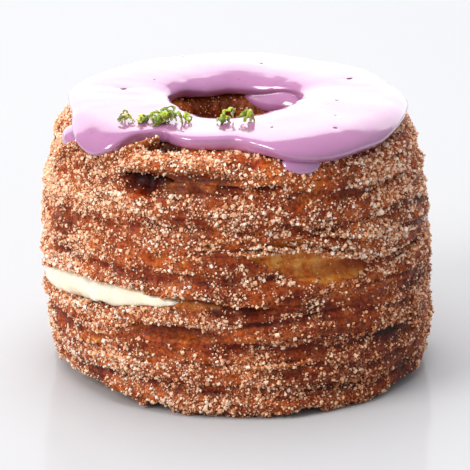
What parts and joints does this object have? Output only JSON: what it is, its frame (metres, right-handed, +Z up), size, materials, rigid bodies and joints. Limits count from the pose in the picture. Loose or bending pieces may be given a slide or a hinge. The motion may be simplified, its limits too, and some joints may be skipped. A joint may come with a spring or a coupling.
{
  "type": "iced croissant doughnut",
  "caption": "Tall ring doughnut of laminated croissant dough with a cream layer showing at one side, thick icing on top and a hole through it.",
  "frame": {"origin": "centre of the flat base, at the middle of the doughnut's bounding box in X and Y", "axes": "+Z up along the hole, -Y towards the side that shows the pointed front end of the cream split, -X towards the wide part of that split"},
  "size_m": [0.0878, 0.087, 0.0649],
  "materials": {
    "dough": "fried golden to deep brown, slightly greasy",
    "cream": "smooth soft satin",
    "icing": "glossy set icing",
    "sugar": "clear to pale crystals dusted with cinnamon",
    "zest": "moist citrus peel"
  },
  "bodies": {
    "root": {"dough": "dough", "cream": "cream", "icing": "icing"}
  },
  "joints": []
}
